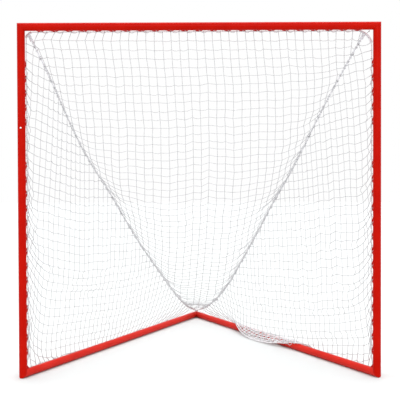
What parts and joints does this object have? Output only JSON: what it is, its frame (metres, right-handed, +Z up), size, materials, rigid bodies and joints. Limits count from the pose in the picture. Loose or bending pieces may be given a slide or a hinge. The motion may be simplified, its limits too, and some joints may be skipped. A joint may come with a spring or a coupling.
{
  "type": "lacrosse goal",
  "caption": "Full-size goal: round red steel tube mouth on a triangular ground frame, with a white knotted net hung from bent lacing rods and spring buttons at its joints.",
  "frame": {"origin": "on the ground at the centre of the frame's footprint; the goal line is at Y = -1.081 m", "axes": "+Z up, mouth faces -Y, ground rails run back to the apex at +Y, +X to the right seen from the front"},
  "size_m": [1.9196, 2.2108, 1.871],
  "materials": {
    "red_paint": "gloss powder coat",
    "zinc_steel": "zinc plated",
    "white_rope": "braided cord",
    "white_netting": "knotted twine"
  },
  "bodies": {
    "goal_frame": {"crossbar": "red_paint", "left_upper_post": "red_paint", "left_lower_post": "red_paint", "left_front_rail": "red_paint", "left_rear_rail": "red_paint", "left_corner_gusset": "red_paint", "left_lower_post_lacing_rod": "red_paint", "left_upper_post_lacing_rod": "red_paint", "left_front_rail_lacing_rod": "red_paint", "left_rear_rail_lacing_rod": "red_paint", "right_upper_post": "red_paint", "right_lower_post": "red_paint", "right_front_rail": "red_paint", "right_rear_rail": "red_paint", "right_corner_gusset": "red_paint", "right_lower_post_lacing_rod": "red_paint", "right_upper_post_lacing_rod": "red_paint", "right_front_rail_lacing_rod": "red_paint", "right_rear_rail_lacing_rod": "red_paint", "crossbar_lacing_rod": "red_paint", "left_post_spigot": "zinc_steel", "left_post_spring_clip": "zinc_steel", "left_post_lacing_cord": "white_rope", "left_rail_spigot": "zinc_steel", "left_rail_spring_clip": "zinc_steel", "left_rail_lacing_cord": "white_rope", "left_ground_rope": "white_rope", "left_seam_rope": "white_rope", "left_net_panel": "white_netting", "right_post_spigot": "zinc_steel", "right_post_spring_clip": "zinc_steel", "right_post_lacing_cord": "white_rope", "right_rail_spigot": "zinc_steel", "right_rail_spring_clip": "zinc_steel", "right_rail_lacing_cord": "white_rope", "right_ground_rope": "white_rope", "right_seam_rope": "white_rope", "right_net_panel": "white_netting", "crossbar_lacing_cord": "white_rope", "mouth_border_rope": "white_rope", "apex_knot": "white_rope", "back_net_panel": "white_netting"},
    "left_post_snap_button": {"left_post_snap_button": "zinc_steel"},
    "left_rail_snap_button": {"left_rail_snap_button": "zinc_steel"},
    "right_post_snap_button": {"right_post_snap_button": "zinc_steel"},
    "right_rail_snap_button": {"right_rail_snap_button": "zinc_steel"}
  },
  "joints": [
    {"name": "left_post_button_press", "type": "slide", "parent": "goal_frame", "child": "left_post_snap_button", "axis": [0, 1, 0], "range_m": [0, 0.0057], "stiffness_N_per_m": 1500, "springref_m": -0.003, "deforming": ["left_post_spring_clip"]},
    {"name": "left_rail_button_press", "type": "slide", "parent": "goal_frame", "child": "left_rail_snap_button", "axis": [0, 0, -1], "range_m": [0, 0.0057], "stiffness_N_per_m": 1500, "springref_m": -0.003, "deforming": ["left_rail_spring_clip"]},
    {"name": "right_post_button_press", "type": "slide", "parent": "goal_frame", "child": "right_post_snap_button", "axis": [0, -1, 0], "range_m": [0, 0.0057], "stiffness_N_per_m": 1500, "springref_m": -0.003, "deforming": ["right_post_spring_clip"]},
    {"name": "right_rail_button_press", "type": "slide", "parent": "goal_frame", "child": "right_rail_snap_button", "axis": [0, 0, -1], "range_m": [0, 0.0057], "stiffness_N_per_m": 1500, "springref_m": -0.003, "deforming": ["right_rail_spring_clip"]}
  ]
}
